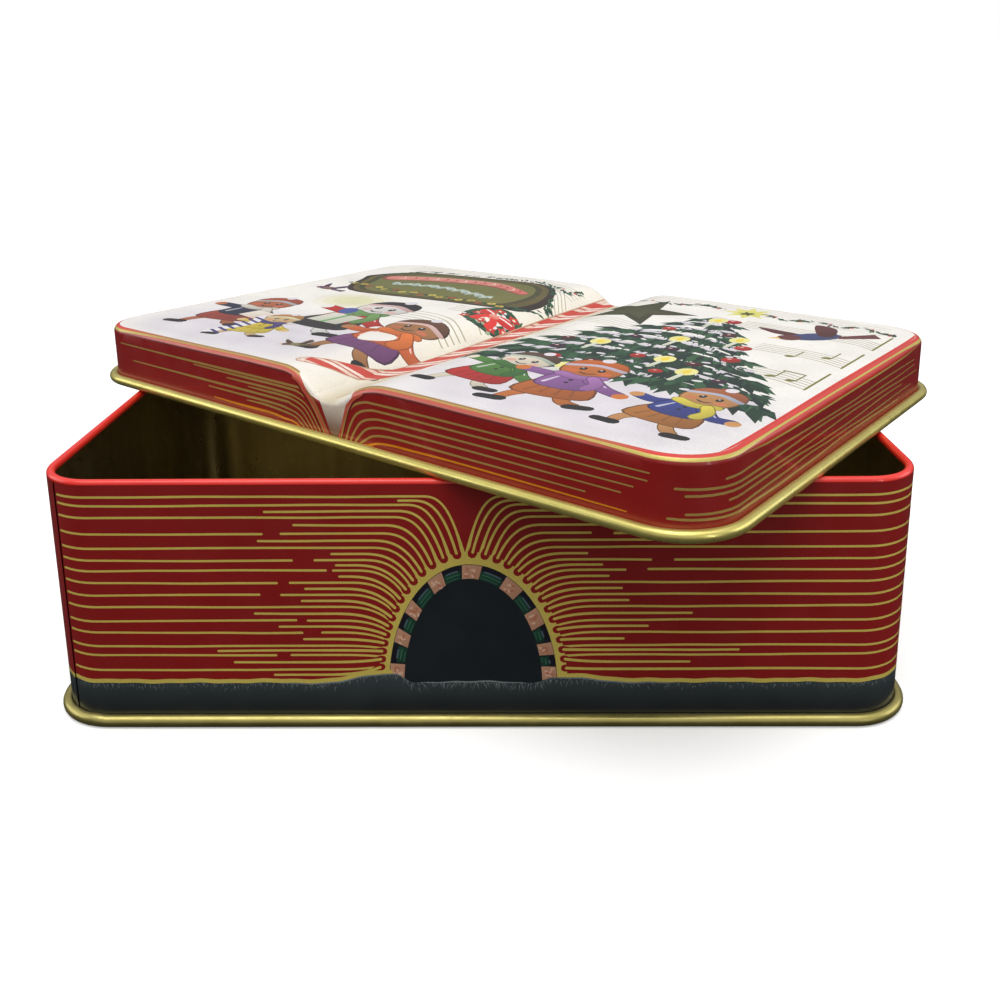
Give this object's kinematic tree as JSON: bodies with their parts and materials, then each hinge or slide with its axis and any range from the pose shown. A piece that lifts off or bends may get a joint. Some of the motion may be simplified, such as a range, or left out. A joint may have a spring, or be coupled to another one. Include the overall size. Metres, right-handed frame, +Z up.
{
  "type": "cookie tin with a book-shaped lid",
  "caption": "Rectangular sheet-metal cookie tin with a rolled rim, a seamed base and a loose slip lid stamped like an open book, lying askew on the rim.",
  "frame": {"origin": "middle of the tin's footprint, on the surface that it stands on", "axes": "+Z up, +X along the long side of the tin, +Y to the back"},
  "size_m": [0.2596, 0.246, 0.0858],
  "materials": {
    "red_print": "glossy printed tinplate with gold ink lines",
    "gold_lacquer": "glossy transparent gold lacquer on tinplate",
    "page_print": "semi-gloss printed tinplate, with a gold lacquered curl"
  },
  "bodies": {
    "tin": {"body_wall": "red_print", "base_plate": "gold_lacquer"},
    "lid": {"lid": "page_print"}
  },
  "joints": [
    {"name": "lid_lift", "type": "slide", "parent": "tin", "child": "lid", "axis": [0, 0, 1], "range_m": [0, 0.1]}
  ]
}
